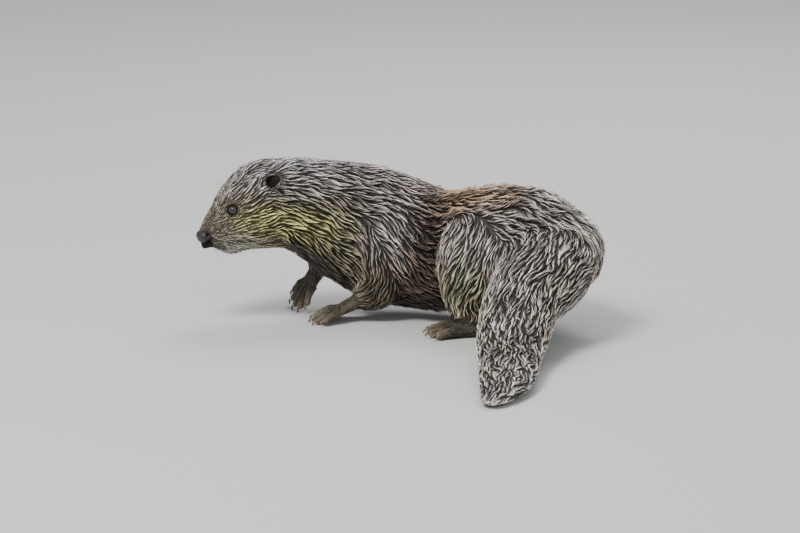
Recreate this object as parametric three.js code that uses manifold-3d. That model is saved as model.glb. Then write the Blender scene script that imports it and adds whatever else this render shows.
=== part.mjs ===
// A river otter at life size, standing still: back humped, head held low and turned to its left,
// and its thick tail curling round to the same side and along the floor.
//
// Millimetres, +Z up, -X the way the body faces. Every shape is worked out in the stance's own frame,
// whose floor is z = 0 and whose zero is under the left forefoot. At the end the animal is moved so
// that the origin is at the middle of its footprint.
import * as THREE from "three";
import { mergeVertices } from "three/addons/utils/BufferGeometryUtils.js";
import Module from "manifold-3d";

const wasm = await Module();
wasm.setup();

// ---------------------------------------------------------------- driving dimensions
const GAP = 0.35; // between two pieces that meet
const CUT = 0.2; // half of a cut that parts one piece from the next
const SOLE = 0; // height of the floor

const HEAD_YAW = 19; // degrees, the nose towards the animal's left
const HEAD_PITCH = 26; // degrees, the nose down
const NOSE_TIP = [-243, -15, 101];
const EYE_RADIUS = 5.6;
const EYE_PLACE = [51, 27.5, 19]; // in the head's frame
const EAR_WIDTH = 20;
const EAR_HEIGHT = 18;
const EAR_PLACE = [104, 45, 31];

const HIP_YAW = -28; // degrees, how far the hips are turned from the body's line

const UP = new THREE.Vector3(0, 0, 1);

// ---------------------------------------------------------------- materials
const finish = (color, roughness) => new THREE.MeshStandardMaterial({ color, roughness, metalness: 0 });
const WET_COAT = finish(0x8f8371, 0.6);
const DRY_COAT = finish(0x7d5c3c, 0.85);
const BARE_SKIN = finish(0x5b4a3c, 0.55);
const NOSE_SKIN = finish(0x2d2624, 0.35);
const EYE = finish(0x17110d, 0.08);
const CLAW = finish(0xb59f83, 0.4);

// ---------------------------------------------------------------- tools
const radians = THREE.MathUtils.degToRad;
const vector = (p) => new THREE.Vector3(...p);
const through = (points) => new THREE.CatmullRomCurve3(points, false, "centripetal");

// The matrix of a place, turned about Z by yaw and then tipped about its own Y by pitch.
function placed(at, yaw = 0, pitch = 0, roll = 0) {
  const turn = new THREE.Euler(radians(roll), radians(pitch), radians(yaw), "ZYX");
  return new THREE.Matrix4().makeRotationFromEuler(turn).setPosition(...at);
}

// A closed three.js geometry as a manifold-3d solid.
function solid(geometry) {
  const bare = geometry.clone();
  for (const name of Object.keys(bare.attributes)) {
    if (name !== "position") bare.deleteAttribute(name);
  }
  const merged = mergeVertices(bare, 1e-4);
  return new wasm.Manifold(
    new wasm.Mesh({
      numProp: 3,
      vertProperties: merged.attributes.position.array,
      triVerts: new Uint32Array(merged.index.array),
    }),
  );
}

// A solid as a three.js geometry.
function geometryOf(made) {
  const mesh = made.getMesh();
  return new THREE.BufferGeometry()
    .setAttribute("position", new THREE.BufferAttribute(new Float32Array(mesh.vertProperties), 3))
    .setIndex(new THREE.BufferAttribute(mesh.triVerts, 1));
}

const joined = (solids) => solids.reduce((whole, next) => whole.add(next));
const carved = (from, cutters) => cutters.reduce((whole, cutter) => whole.subtract(cutter), from);

// The largest body of a solid. What a cut leaves behind as crumbs is dropped.
const largest = (made) => made.decompose().reduce((a, b) => (b.volume() > a.volume() ? b : a));

// The two sides of a thin cut through a point, first the side that the normal points away from.
function parted(made, at, normal) {
  const n = vector(normal).normalize();
  const offset = n.dot(vector(at));
  const away = made.trimByPlane([-n.x, -n.y, -n.z], -offset + CUT);
  const along = made.trimByPlane([n.x, n.y, n.z], offset + CUT);
  return [away, along];
}

// A circle's point (c, s) on the rounded section of a station: squareness 2 is an ellipse.
function section(c, s, size, square) {
  const power = 2 / square;
  const x = Math.sign(c) * Math.abs(c) ** power * size.x;
  const y = Math.sign(s) * Math.abs(s) ** power * (s > 0 ? size.y : size.z);
  return [x, y];
}

// A closed limb: the rings of a ball are laid along a smooth curve through the stations. Each station
// gives its place, its half width, and its half height over and under the curve. With `side` the
// sections keep that direction as their width; without it they stay upright. The ends are domes.
function limb(stations, options = {}) {
  const { sides = 16, rings = 16, domes = [1, 1], domeRings = 3, square = 2, side, grow = 0 } = options;
  const path = through(stations.map((s) => vector(s.at)));
  const sizes = through(stations.map((s) => new THREE.Vector3(s.wide, s.over, s.under ?? s.over)));
  const total = rings + 2 * domeRings;
  const ball = new THREE.SphereGeometry(1, sides, total);
  ball.deleteAttribute("normal");
  ball.deleteAttribute("uv");
  const shell = mergeVertices(ball, 1e-4);
  const place = shell.attributes.position;
  for (let i = 0; i < place.count; i++) {
    const point = new THREE.Vector3().fromBufferAttribute(place, i);
    const ring = Math.round((Math.acos(THREE.MathUtils.clamp(point.y, -1, 1)) / Math.PI) * total);
    const along = THREE.MathUtils.clamp((ring - domeRings) / rings, 0, 1);
    const past = Math.max(domeRings - ring, ring - domeRings - rings, 0) / domeRings;
    const first = ring < domeRings;
    const lift = Math.sin((past * Math.PI) / 2) * ((first ? domes[0] : domes[1]) + grow);
    const shrink = Math.cos((past * Math.PI) / 2);
    const angle = Math.atan2(point.z, point.x);
    const tangent = path.getTangent(along);
    const across = side
      ? vector(side).addScaledVector(tangent, -vector(side).dot(tangent)).normalize()
      : new THREE.Vector3().crossVectors(tangent, UP).normalize();
    const over = new THREE.Vector3().crossVectors(across, tangent);
    const size = sizes.getPoint(along).addScalar(grow);
    const [x, y] = section(Math.cos(angle), -Math.sin(angle), size, square);
    const end = path.getPoint(along).addScaledVector(tangent, first ? -lift : lift);
    end.addScaledVector(across, x * shrink).addScaledVector(over, y * shrink);
    place.setXYZ(i, end.x, end.y, end.z);
  }
  return solid(shell);
}

// ---------------------------------------------------------------- the body
// Neck to rump. Above and below are measured from the body's curve.
const TORSO = [
  { at: [-168, 7, 146], wide: 45, over: 50, under: 44 },
  { at: [-147, 13, 143], wide: 47, over: 55, under: 57 },
  { at: [-122, 20, 138], wide: 50, over: 60, under: 57 },
  { at: [-86, 33, 122], wide: 54, over: 72, under: 65 },
  { at: [-45, 42, 105], wide: 59, over: 81, under: 80 },
  { at: [0, 33, 94], wide: 61, over: 79, under: 85 },
  { at: [48, 13, 84], wide: 61, over: 72, under: 77 },
  { at: [100, -12, 90], wide: 63, over: 76, under: 78 },
  { at: [150, -37, 98], wide: 66, over: 76, under: 78 },
  { at: [186, -59, 97], wide: 59, over: 62, under: 62 },
  { at: [213, -76, 93], wide: 45, over: 43, under: 46 },
];
const torso = (grow = 0) =>
  limb(TORSO, { sides: 20, rings: 17, domes: [10, 26], domeRings: 2, square: 2.1, grow });

// The head in its own frame: X runs back from the tip of the nose, Z up.
const HEAD_FRAME = placed(NOSE_TIP, HEAD_YAW, -HEAD_PITCH);
const HEAD = [
  { at: [8, 0, -4], wide: 15, over: 11, under: 14 },
  { at: [15, 0, -2], wide: 21, over: 15, under: 21 },
  { at: [27, 0, 0], wide: 26, over: 21, under: 32 },
  { at: [42, 0, 0], wide: 30, over: 31, under: 40 },
  { at: [58, 0, 1], wide: 39, over: 41, under: 48 },
  { at: [78, 0, 1], wide: 49, over: 49, under: 57 },
  { at: [98, 0, 2], wide: 51, over: 51, under: 63 },
  { at: [116, 0, 0], wide: 48, over: 49, under: 60 },
];
const skull = (grow = 0) =>
  limb(HEAD, { sides: 18, rings: 12, domes: [5, 10], domeRings: 2, square: 2.15, grow }).transform(
    HEAD_FRAME.elements,
  );

// ---------------------------------------------------------------- the tail
const TAIL = [
  { at: [178, -62, 104], wide: 57, over: 47 },
  { at: [170, -116, 84], wide: 60, over: 44, under: 52 },
  { at: [141, -170, 57], wide: 49, over: 38, under: 40 },
  { at: [130, -228, 32], wide: 45, over: 31, under: 35 },
  { at: [124, -288, 20], wide: 39, over: 24, under: 23 },
  { at: [121, -344, 15], wide: 37, over: 21, under: 18 },
  { at: [115, -394, 11], wide: 32, over: 16, under: 13 },
  { at: [101, -440, 7], wide: 19, over: 10, under: 8 },
];
const tail = (grow = 0) => limb(TAIL, { sides: 14, rings: 13, domes: [10, 14], domeRings: 2, grow });

// ---------------------------------------------------------------- the legs
const HIP_SIDE = vector([0, 1, 0]).applyAxisAngle(UP, radians(HIP_YAW)).toArray();
const LEGS = {
  foreleg_left: {
    side: [0, 1, 0],
    stations: [
      { at: [-28, 2, 128], wide: 22, over: 34, under: 34 },
      { at: [-22, -4, 96], wide: 24, over: 34, under: 34 },
      { at: [-15, -8, 62], wide: 21, over: 32, under: 27 },
      { at: [-23, -8, 39], wide: 18, over: 23, under: 24 },
      { at: [-49, -6, 26], wide: 15, over: 12, under: 13 },
    ],
    knee: { at: [-14, -8, 60], normal: [0.1, 0, -1] },
    ankle: { at: [-43, -7, 28], normal: [-1, 0, -0.4] },
    foot: { kind: "forefoot", at: [-54, -6, 15], yaw: 8, left: true, pitch: -18 },
  },
  foreleg_right: {
    side: [0, 1, 0],
    stations: [
      { at: [-40, 82, 128], wide: 22, over: 32, under: 32 },
      { at: [-46, 85, 100], wide: 23, over: 30, under: 30 },
      { at: [-60, 80, 78], wide: 20, over: 22, under: 23 },
      { at: [-82, 71, 65], wide: 18, over: 17, under: 17 },
      { at: [-101, 62, 52], wide: 16, over: 13, under: 13 },
    ],
    knee: { at: [-60, 80, 78], normal: [-1, 0, -1] },
    ankle: { at: [-93, 66, 58], normal: [-1, 0, -1] },
    foot: { kind: "forefoot", at: [-95, 62, 45], yaw: 6, left: false, pitch: -54, roll: 14 },
  },
  hindleg_left: {
    side: HIP_SIDE,
    stations: [
      { at: [138, -46, 122], wide: 40, over: 64, under: 50 },
      { at: [112, -64, 94], wide: 40, over: 76, under: 52 },
      { at: [86, -74, 62], wide: 32, over: 54, under: 36 },
      { at: [76, -79, 38], wide: 23, over: 27, under: 22 },
      { at: [88, -80, 20], wide: 19, over: 20, under: 18 },
    ],
    knee: { at: [86, -74, 60], normal: [-0.3, 0, -1] },
    ankle: { at: [82, -80, 27], normal: [-0.1, 0, -1] },
    foot: { kind: "hindfoot", at: [104, -80, 0], yaw: 4, left: true },
  },
  hindleg_right: {
    side: HIP_SIDE,
    stations: [
      { at: [176, 6, 116], wide: 38, over: 54, under: 46 },
      { at: [156, 22, 86], wide: 34, over: 50, under: 46 },
      { at: [132, 36, 58], wide: 26, over: 36, under: 32 },
      { at: [124, 44, 38], wide: 20, over: 23, under: 21 },
      { at: [130, 48, 20], wide: 18, over: 19, under: 17 },
    ],
    knee: { at: [130, 38, 56], normal: [-0.3, 0, -1] },
    ankle: { at: [127, 46, 27], normal: [-0.35, 0, -1] },
    foot: { kind: "hindfoot", at: [136, 48, 0], yaw: -14, left: false },
  },
};
const leg = (spec, grow = 0) =>
  limb(spec.stations, { sides: 12, rings: 7, domes: [14, 8], domeRings: 2, side: spec.side, grow });

// ---------------------------------------------------------------- the feet
// A foot in its own frame: X runs back from the toes to the heel, Y to the animal's right, Z up.
// The palm's front edge is at x = -palm, and the toes fan out from it.
const FEET = {
  forefoot: {
    palm: 26, // ankle to the toes' roots
    heel: 6,
    halfWidth: 19,
    thick: 9,
    toeRadius: 5.2,
    toes: [
      { y: -16, fan: -33, length: 23 },
      { y: -9, fan: -15, length: 31 },
      { y: 0, fan: -1, length: 34 },
      { y: 9, fan: 13, length: 32 },
      { y: 16, fan: 28, length: 25 },
    ],
  },
  hindfoot: {
    palm: 42,
    heel: 22,
    halfWidth: 22,
    thick: 13,
    toeRadius: 6.6,
    toes: [
      { y: -18, fan: -24, length: 24 },
      { y: -10, fan: -12, length: 33 },
      { y: -1, fan: -2, length: 37 },
      { y: 9, fan: 9, length: 36 },
      { y: 17, fan: 22, length: 30 },
    ],
  },
};
const CLAW_LENGTH = 5.5;
const CLAW_RADIUS = 1.9;
const WEB_THICKNESS = 3.5;
const WEB_REACH = 0.62; // of a toe's length

// A toe's root and direction. The inner toe is the first, so a right foot is mirrored.
function toeLine(foot, toe, mirror) {
  const angle = radians(toe.fan);
  const root = new THREE.Vector3(-foot.palm + 4, toe.y * mirror, foot.thick * 0.55);
  const ahead = new THREE.Vector3(-Math.cos(angle), Math.sin(angle) * mirror, 0);
  return { root, ahead };
}

function toeSolid(foot, toe, mirror, grow) {
  const { root, ahead } = toeLine(foot, toe, mirror);
  const radius = foot.toeRadius;
  const at = (share, height) =>
    root.clone().addScaledVector(ahead, toe.length * share).setZ(height).toArray();
  const stations = [
    { at: at(-0.25, foot.thick * 0.6), wide: radius * 0.8, over: radius * 0.7 },
    { at: at(0.3, radius * 1.25), wide: radius * 0.92, over: radius * 0.95 },
    { at: at(0.62, radius * 1.0), wide: radius * 0.86, over: radius * 0.9 },
    { at: at(0.86, radius * 0.72), wide: radius * 0.95, over: radius * 0.85 },
  ];
  return limb(stations, { sides: 6, rings: 3, domes: [2, 3.5], domeRings: 1, grow });
}

function clawSolid(foot, toe, mirror) {
  const { root, ahead } = toeLine(foot, toe, mirror);
  const radius = foot.toeRadius;
  const tip = toe.length * 0.86 + 3;
  const at = (reach, height) => root.clone().addScaledVector(ahead, tip + reach).setZ(height).toArray();
  const stations = [
    { at: at(-3, radius * 1.15), wide: CLAW_RADIUS, over: CLAW_RADIUS },
    { at: at(CLAW_LENGTH * 0.4, radius * 1.0), wide: CLAW_RADIUS * 0.8, over: CLAW_RADIUS * 0.9 },
    { at: at(CLAW_LENGTH * 0.8, radius * 0.45), wide: CLAW_RADIUS * 0.35, over: CLAW_RADIUS * 0.45 },
  ];
  return limb(stations, { sides: 5, rings: 2, domes: [0.5, 0.8], domeRings: 1 });
}

// The web is one thin fan that reaches part of the way along the toes.
function webSolid(foot, mirror, grow) {
  const points = [];
  foot.toes.forEach((toe, i) => {
    const { root, ahead } = toeLine(foot, toe, mirror);
    const tip = root.clone().addScaledVector(ahead, toe.length * (WEB_REACH + 0.12));
    points.push(new THREE.Vector2(tip.x - grow, tip.y));
    const next = foot.toes[i + 1];
    if (!next) return;
    const other = toeLine(foot, next, mirror);
    const otherTip = other.root.clone().addScaledVector(other.ahead, next.length * (WEB_REACH + 0.12));
    const between = tip.add(otherTip).multiplyScalar(0.5);
    points.push(new THREE.Vector2(between.x + toe.length * 0.2 - grow, between.y));
  });
  points.push(new THREE.Vector2(-foot.palm + 10, points.at(-1).y * 0.8));
  points.push(new THREE.Vector2(-foot.palm + 10, points[0].y * 0.8));
  const fan = new THREE.ExtrudeGeometry(new THREE.Shape(points), {
    depth: WEB_THICKNESS + 2 * grow,
    bevelEnabled: false,
  });
  fan.translate(0, 0, foot.toeRadius * 0.35 - grow);
  return solid(fan);
}

function palmSolid(foot, grow) {
  const { palm, heel, halfWidth, thick } = foot;
  const stations = [
    { at: [heel, 0, thick * 0.75], wide: halfWidth * 0.62, over: thick * 0.7, under: thick * 0.8 },
    { at: [0, 0, thick * 0.8], wide: halfWidth * 0.75, over: thick * 0.95, under: thick * 0.9 },
    { at: [-palm * 0.55, 0, thick * 0.62], wide: halfWidth * 0.92, over: thick * 0.72, under: thick * 0.75 },
    { at: [-palm, 0, thick * 0.5], wide: halfWidth, over: thick * 0.5, under: thick * 0.6 },
  ];
  return limb(stations, { sides: 8, rings: 3, domes: [6, 5], domeRings: 1, square: 2.3, grow });
}

function footSolid({ kind, left }, grow = 0) {
  const foot = FEET[kind];
  const mirror = left ? -1 : 1;
  return joined([
    palmSolid(foot, grow),
    webSolid(foot, mirror, grow),
    ...foot.toes.map((toe) => toeSolid(foot, toe, mirror, grow)),
  ]);
}

const footFrame = ({ at, yaw, pitch = 0, roll = 0 }) => placed(at, yaw, pitch, roll);

// ---------------------------------------------------------------- the face
const eyeAt = (mirror) =>
  vector([EYE_PLACE[0], EYE_PLACE[1] * mirror, EYE_PLACE[2]]).applyMatrix4(HEAD_FRAME);
function eyeSolid(mirror, grow = 0) {
  const ball = new THREE.SphereGeometry(EYE_RADIUS + grow, 12, 8);
  return solid(ball.rotateX(Math.PI / 2).translate(...eyeAt(mirror).toArray()));
}

// The ear is a short round cup, hollow in front, that leans back against the head.
function earSolid(mirror) {
  const shell = new THREE.SphereGeometry(1, 10, 8).scale(5, EAR_WIDTH / 2, EAR_HEIGHT / 2);
  const hollow = new THREE.SphereGeometry(1, 8, 6).scale(4, EAR_WIDTH / 2 - 3, EAR_HEIGHT / 2 - 3);
  const cup = solid(shell).subtract(solid(hollow.translate(-4, 0, 1)));
  const lean = new THREE.Matrix4().makeRotationFromEuler(
    new THREE.Euler(radians(28 * mirror), radians(12), radians(-38 * mirror), "ZYX"),
  );
  lean.setPosition(EAR_PLACE[0], EAR_PLACE[1] * mirror, EAR_PLACE[2]);
  return cup.transform(HEAD_FRAME.clone().multiply(lean).elements);
}

function noseSolid(grow = 0) {
  const stations = [
    { at: [5.5, 0, -0.5], wide: 9.5, over: 7.5, under: 8 },
    { at: [10, 0, 1], wide: 11.5, over: 8, under: 9.5 },
    { at: [16, 0, 3.5], wide: 10, over: 8, under: 9.5 },
  ];
  return limb(stations, { sides: 10, rings: 3, domes: [3, 3], domeRings: 2, square: 2.5, grow });
}
function nostril(mirror) {
  const hole = new THREE.SphereGeometry(1, 6, 4).scale(4, 2.6, 2.2);
  hole.rotateZ(radians(-35 * mirror)).translate(3.4, 6.6 * mirror, 1.2);
  return solid(hole);
}

// ---------------------------------------------------------------- the pieces
const pieces = new Map();
const keep = (name, made, material) => pieces.set(name, { made, material });
const onFloor = (made) => made.trimByPlane([0, 0, 1], SOLE);
const SIDES = { left: -1, right: 1 };

// Head, neck and body are one tube, parted by cuts across it.
const spine = skull().add(torso());
const headCut = { at: [96, 0, 0], normal: [1, 0, -0.25] };
const cutAt = vector(headCut.at).applyMatrix4(HEAD_FRAME).toArray();
const cutNormal = vector(headCut.normal).transformDirection(HEAD_FRAME).toArray();
const [headWhole, bodyWhole] = parted(spine, cutAt, cutNormal);
const [neck, trunk] = parted(bodyWhole, [-88, 33, 122], [1, 0.25, -0.45]);
const [chest, hindBody] = parted(trunk, [26, 24, 90], [1, -0.35, 0]);
const [loin, rump] = parted(hindBody, [116, -18, 92], [1, -0.5, 0]);

const sides = Object.entries(SIDES);
const headTools = [
  ...sides.map(([, mirror]) => eyeSolid(mirror, GAP)),
  noseSolid(GAP).transform(HEAD_FRAME.elements),
];
keep("head", largest(carved(headWhole, headTools)), WET_COAT);
keep("neck", largest(neck), WET_COAT);
keep("chest", largest(chest), WET_COAT);
keep("loin", largest(loin), DRY_COAT);
keep("rump", largest(rump), WET_COAT);

const nose = carved(noseSolid(), sides.map(([, mirror]) => nostril(mirror)));
keep("nose", largest(nose).transform(HEAD_FRAME.elements), NOSE_SKIN);
for (const [name, mirror] of sides) {
  keep(`eye_${name}`, eyeSolid(mirror), EYE);
  keep(`ear_${name}`, largest(carved(earSolid(mirror), [skull(GAP), torso(GAP)])), BARE_SKIN);
}

// Each leg is one limb with its foot, cut away by the body it grows from, then parted at its joints.
const body = torso(GAP);
for (const [name, spec] of Object.entries(LEGS)) {
  const frame = footFrame(spec.foot);
  const whole = carved(leg(spec).add(footSolid(spec.foot).transform(frame.elements)), [body]);
  const [upper, below] = parted(onFloor(whole), spec.knee.at, spec.knee.normal);
  const [lower, foot] = parted(below, spec.ankle.at, spec.ankle.normal);
  keep(`${name}_upper`, largest(upper), WET_COAT);
  keep(`${name}_lower`, largest(lower), WET_COAT);
  keep(name.replace("leg", "foot"), largest(foot), BARE_SKIN);

  const shape = FEET[spec.foot.kind];
  const mirror = spec.foot.left ? -1 : 1;
  const toes = footSolid(spec.foot, GAP);
  shape.toes.forEach((toe, i) => {
    const claw = clawSolid(shape, toe, mirror).subtract(toes).transform(frame.elements);
    keep(`${name.replace("leg", "claw")}_${i + 1}`, largest(onFloor(claw)), CLAW);
  });
}

// The tail is cut away by the rump and by both thighs, then parted into three lengths.
const behind = [body, leg(LEGS.hindleg_left, GAP), leg(LEGS.hindleg_right, GAP)];
const tailWhole = largest(onFloor(carved(tail(), behind)));
const [tailBase, tailRest] = parted(tailWhole, [140, -186, 50], [-0.3, -1, -0.5]);
const [tailMiddle, tailTip] = parted(tailRest, [126, -280, 20], [-0.1, -1, 0]);
keep("tail_base", largest(tailBase), WET_COAT);
keep("tail_middle", largest(tailMiddle), WET_COAT);
keep("tail_tip", largest(tailTip), WET_COAT);

// ---------------------------------------------------------------- the scene
const otter = new THREE.Group();
for (const [name, { made, material }] of pieces) {
  const mesh = new THREE.Mesh(geometryOf(made), material);
  mesh.name = name;
  otter.add(mesh);
}
const box = new THREE.Box3().setFromObject(otter);
const middle = box.getCenter(new THREE.Vector3());
otter.position.set(-middle.x, -middle.y, -box.min.z);

export default otter;
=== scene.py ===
"""River otter: one skin over the modelled body, with its wet coat, eyes, nose, claws and whiskers."""

import math

import bmesh
import bpy
import numpy as np
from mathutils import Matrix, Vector
from mathutils.bvhtree import BVHTree
from mathutils.kdtree import KDTree


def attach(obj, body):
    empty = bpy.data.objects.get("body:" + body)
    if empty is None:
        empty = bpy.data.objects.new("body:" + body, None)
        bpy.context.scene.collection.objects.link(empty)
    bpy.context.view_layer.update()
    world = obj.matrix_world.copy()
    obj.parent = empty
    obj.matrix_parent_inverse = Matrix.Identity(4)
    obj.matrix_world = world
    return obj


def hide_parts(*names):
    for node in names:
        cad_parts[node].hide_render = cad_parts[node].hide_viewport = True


bl_info = {
    "name": "River Otter",
    "version": (1, 0, 0),
    "blender": (4, 5, 0),
    "location": "View3D > Sidebar > Otter",
    "description": "Builds a life-size river otter around its solids",
    "category": "Object",
}

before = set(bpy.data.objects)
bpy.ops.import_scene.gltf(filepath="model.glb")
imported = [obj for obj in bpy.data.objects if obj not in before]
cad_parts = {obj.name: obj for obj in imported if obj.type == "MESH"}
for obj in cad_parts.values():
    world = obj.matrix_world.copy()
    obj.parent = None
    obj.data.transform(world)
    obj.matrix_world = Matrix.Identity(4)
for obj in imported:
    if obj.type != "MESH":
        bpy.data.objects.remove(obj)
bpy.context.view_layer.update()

MM = 0.001
STANCE = np.array([-0.775, 172.918, 0.0])  # from the stance's own zero to the origin, in mm
UP = np.array([0.0, 0.0, 1.0])
LOWEST = 0.3  # height that skin and coat keep over the floor, in mm

HEAD_YAW = math.radians(19)
HEAD_PITCH = math.radians(26)
NOSE_TIP = np.array([-243.0, -15.0, 101.0])
EYE_PLACE = np.array([51.0, 27.5, 19.0])  # in the head's frame
EAR_PLACE = np.array([104.0, 45.0, 31.0])
SIDES = {"left": -1.0, "right": 1.0}
FLIPS = {name: np.array([1, side, 1]) for name, side in SIDES.items()}  # from the right side to each side

# ---------------------------------------------------------------- centre lines, in the stance, in mm
SPINE = [
    (-168, 7, 146),
    (-122, 20, 138),
    (-86, 33, 122),
    (-45, 42, 105),
    (0, 33, 94),
    (48, 13, 84),
    (100, -12, 90),
    (150, -37, 98),
    (186, -59, 97),
    (240, -88, 90),
]
TAIL = [
    (178, -62, 104),
    (170, -116, 84),
    (141, -170, 57),
    (130, -228, 32),
    (124, -288, 20),
    (121, -344, 15),
    (115, -394, 11),
    (96, -454, 6),
]
LEGS = {
    "foreleg_left": [(-28, 2, 128), (-22, -4, 96), (-15, -8, 62), (-23, -8, 39), (-49, -6, 26)],
    "foreleg_right": [(-40, 82, 128), (-46, 85, 100), (-60, 80, 78), (-82, 71, 65), (-101, 62, 52)],
    "hindleg_left": [(138, -46, 122), (112, -64, 94), (86, -74, 62), (76, -79, 38), (88, -80, 20)],
    "hindleg_right": [(176, 6, 116), (156, 22, 86), (132, 36, 58), (124, 44, 38), (130, 48, 20)],
}
FEET = {
    "forefoot_left": (8, 18),
    "forefoot_right": (6, 54),
    "hindfoot_left": (4, 0),
    "hindfoot_right": (-14, 0),
}  # yaw, and how steeply the toes point down, in degrees
BETWEEN_LIMBS = 20  # across the body, the left limbs lie below this and the right ones above
FLESH = (
    ["head", "ear_left", "ear_right", "neck", "chest", "loin", "rump"]
    + ["tail_base", "tail_middle", "tail_tip"]
    + [f"{leg}_{part}" for leg in LEGS for part in ("upper", "lower")]
    + list(FEET)
)
BASE = [name for name in FLESH if not name.startswith("ear")] + ["nose"]  # what the skin is drawn over
PARTS = ["head", "ear", "neck", "chest", "loin", "rump", "tail", "foreleg", "hindleg", "forefoot", "hindfoot"]


# ---------------------------------------------------------------- sizes and colours
def length(name, default, description):
    """A length property, given in millimetres."""
    return bpy.props.FloatProperty(name=name, default=default * MM, unit="LENGTH", description=description)


def number(name, default, description):
    """A plain number property."""
    return bpy.props.FloatProperty(name=name, default=default, description=description)


def colour(name, default, description):
    """A colour property."""
    return bpy.props.FloatVectorProperty(
        name=name, default=default, size=3, min=0, max=1, subtype="COLOR", description=description
    )


class SkinSizes(bpy.types.PropertyGroup):
    """Sizes of the skin."""

    grain: length("Grain", 2.7, "Size of the skin's faces")
    bridge: length("Bridge", 0.7, "How far the solids are grown before they are joined")
    mouth_depth: length("Mouth depth", 1.6, "Depth of the line of the mouth")
    pad_bulge: length("Whisker pad", 3.0, "How far each whisker pad stands out")
    brow_bulge: length("Brow", 2.0, "How far each brow stands out")
    ear_bowl: length("Ear bowl", 8.5, "Depth of each ear")
    toe_groove: length("Toe groove", 2.6, "Depth of the grooves between the toes")


class CoatSizes(bpy.types.PropertyGroup):
    """Sizes of the coat."""

    seed: bpy.props.IntProperty(name="Seed", default=11, description="Start of the coat's random draws")
    wave: length("Wave", 0.7, "How far a clump waves to each side")
    reach: number("Reach", 1.0, "Share of each blade's usual length")
    fullness: number("Fullness", 1.0, "Share of each blade's usual width")
    clumping: number("Clumping", 0.95, "How far the blades of a clump draw together")


class CoatColours(bpy.types.PropertyGroup):
    """Colours of the coat, among them painted sheen, green reflection and shade."""

    taupe: colour("Taupe", (0.37, 0.305, 0.262), "Most of the coat")
    # painted green reflection on the wet cheek, neck and haunches
    green_reflection: colour("Olive", (0.55, 0.53, 0.22), "Cheek and side of the neck")
    # painted wet sheen on the coat; the same colour gives the pale hairs of the beard
    pale_hair_and_sheen: colour("Silver", (0.58, 0.54, 0.53), "Wet sheen behind the shoulder")
    khaki: colour("Khaki", (0.25, 0.215, 0.13), "Chest and forelegs")
    umber: colour("Umber", (0.12, 0.08, 0.058), "Dry fur of the flank")
    russet: colour("Russet", (0.47, 0.305, 0.17), "Dry fur along the back")
    beige: colour("Beige", (0.5, 0.445, 0.385), "Rump and tail")
    # painted shade on the undersides; round the eyes dark fur with painted shade of the lids; darker fur on
    # the ears
    shade: colour("Shade", (0.05, 0.037, 0.028), "Belly and inner legs")
    # darker brown of the lower forelegs, and painted shade under the elbows
    dark_foreleg: colour("Mud", (0.19, 0.155, 0.095), "Forelegs and elbows")
    paw: colour("Paw", (0.1, 0.088, 0.06), "Feet")
    toe: colour("Toe", (0.27, 0.19, 0.13), "Tips of the toes")
    # dark bare skin of the lips and round the nose; painted shade in the ear bowls and in the grooves between
    # the toes
    inner: colour("Inner", (0.012, 0.008, 0.008), "Ears, lips and between the toes")
    muzzle: colour("Muzzle", (0.26, 0.225, 0.17), "Muzzle and bridge of the nose")
    # dark wet roots, with painted shade in the gaps between the tufts
    root: colour("Root", (0.012, 0.009, 0.008), "Wet roots between the tufts")


class FaceSizes(bpy.types.PropertyGroup):
    """Sizes and colours of the eyes, the nose, the whiskers and the claws."""

    eye_radius: length("Eye radius", 5.3, "Radius of the eyeball")
    whisker_length: length("Whisker length", 34, "Length of the longest whiskers")
    whisker_radius: length("Whisker radius", 0.27, "Radius of a whisker at its root")
    iris: colour("Iris", (0.05, 0.035, 0.025), "Iris")
    nose: colour("Nose", (0.022, 0.018, 0.017), "Nose pad")
    claw: colour("Claw", (0.2, 0.155, 0.1), "Claws")
    whisker: colour("Whisker", (0.68, 0.63, 0.5), "Whiskers")


class StageSizes(bpy.types.PropertyGroup):
    """The floor, the light and the camera."""

    distance: length("Distance", 5000, "Camera's distance")
    elevation: number("Elevation", 12.0, "Camera's height in degrees")
    target_height: length("Target height", 65.6, "Height that the camera looks at")
    lens: number("Lens", 187.5, "Focal length in mm")
    floor: colour("Floor", (0.62, 0.62, 0.6), "Floor")


GROUPS = {
    "otter_skin": SkinSizes,
    "otter_coat": CoatSizes,
    "otter_colours": CoatColours,
    "otter_face": FaceSizes,
    "otter_stage": StageSizes,
}


def settings(group):
    """The scene's values for a group of sizes."""
    return getattr(bpy.context.scene, group)


# ---------------------------------------------------------------- number tools
def smooth(start, end, x):
    """0 before start, 1 after end, with a soft ramp between."""
    t = np.clip((x - start) / (end - start), 0, 1)
    return t * t * (3 - 2 * t)


def fade(start, end, x):
    """1 before start, 0 after end, with a soft ramp between."""
    return 1 - smooth(start, end, x)


def hill(x, middle, width):
    """1 at the middle, falling off smoothly to both sides."""
    return np.exp(-(((x - middle) / width) ** 2))


def norm(v):
    """Lengths of vectors."""
    return np.linalg.norm(v, axis=-1)


def unit(v):
    """Vectors at length 1."""
    return v / np.maximum(np.linalg.norm(v, axis=-1, keepdims=True), 1e-9)


def laid_flat(v, normals):
    """Vectors turned into the surface, at length 1."""
    return unit(v - normals * (v * normals).sum(1)[:, None])


def curve_through(points, steps=6):
    """Points along a smooth curve through the given points."""
    p = np.array(points, float)
    p = np.vstack([2 * p[0] - p[1], p, 2 * p[-1] - p[-2]])
    out = []
    for i in range(1, len(p) - 2):
        a, b, c, d = p[i - 1 : i + 3]
        for k in range(steps):
            t = k / steps
            square = (2 * a - 5 * b + 4 * c - d) * t**2
            cube = (3 * b - a - 3 * c + d) * t**3
            out.append(0.5 * (2 * b + (c - a) * t + square + cube))
    out.append(p[-2])
    return np.array(out)


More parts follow.
